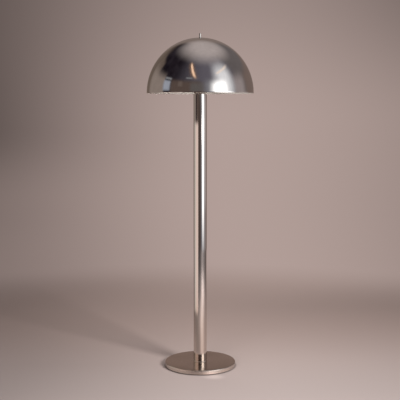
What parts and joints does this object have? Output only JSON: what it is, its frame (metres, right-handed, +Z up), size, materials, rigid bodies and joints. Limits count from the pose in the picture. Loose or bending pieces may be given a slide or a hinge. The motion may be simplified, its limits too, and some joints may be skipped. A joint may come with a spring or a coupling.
{
  "type": "mushroom floor lamp",
  "caption": "Floor lamp with a weighted disc base, a thick straight tube, a polished dome shade open below and a turn switch on top.",
  "frame": {"origin": "centre of the base pad's underside, on the floor", "axes": "+Z up along the pole; +Y towards the cord inlet at the back; -Y is the front"},
  "size_m": [0.4572, 0.4572, 1.4431],
  "materials": {
    "polished_aluminium": "polished outside, white enamel inside",
    "polished_tube": "polished",
    "polished_trim": "polished",
    "brushed_nickel": "brushed",
    "iron": "as cast",
    "pad_rubber": "matt",
    "plated_steel": "zinc plated",
    "cast_white": "satin white",
    "cup_brass": "satin",
    "contact_brass": "bright",
    "porcelain": "glazed white",
    "bulb_cap_metal": "satin",
    "frosted_glass": "frosted white",
    "black_plastic": "moulded",
    "wire_vinyl": "smooth"
  },
  "bodies": {
    "lamp": {"arm_nipple_1": "plated_steel", "arm_nipple_2": "plated_steel", "arm_nipple_3": "plated_steel", "base_cover": "brushed_nickel", "base_weight": "iron", "bottom_washer": "plated_steel", "bulb_cap_1": "bulb_cap_metal", "bulb_cap_2": "bulb_cap_metal", "bulb_cap_3": "bulb_cap_metal", "bulb_glass_1": "frosted_glass", "bulb_glass_2": "frosted_glass", "bulb_glass_3": "frosted_glass", "centre_contact_1": "contact_brass", "centre_contact_2": "contact_brass", "centre_contact_3": "contact_brass", "cluster_body": "cast_white", "cluster_lid": "plated_steel", "cluster_screws": "plated_steel", "cord_bushing": "black_plastic", "foot_pad": "pad_rubber", "foot_ring": "polished_trim", "hex_nuts": "plated_steel", "pole_tube": "polished_tube", "ring_nut": "polished_trim", "screw_shell_1": "contact_brass", "screw_shell_2": "contact_brass", "screw_shell_3": "contact_brass", "seat_washer": "pad_rubber", "shade": "polished_aluminium", "socket_body_1": "porcelain", "socket_body_2": "porcelain", "socket_body_3": "porcelain", "socket_cup_1": "cup_brass", "socket_cup_2": "cup_brass", "socket_cup_3": "cup_brass", "socket_lead_1": "wire_vinyl", "socket_lead_2": "wire_vinyl", "socket_lead_3": "wire_vinyl", "stem_pipe": "plated_steel", "supply_wires": "wire_vinyl", "switch_body": "black_plastic", "switch_bushing": "plated_steel", "switch_leads": "wire_vinyl", "threaded_pipe": "plated_steel", "top_cap": "plated_steel", "wire_connectors": "black_plastic", "yoke": "plated_steel"},
    "turn_switch": {"knob": "polished_trim", "switch_shaft": "plated_steel"}
  },
  "joints": [
    {"name": "switch_turn", "type": "hinge", "parent": "lamp", "child": "turn_switch", "pos_m": [0, 0, 1.42463], "axis": [0, 0, 1], "continuous": true}
  ]
}
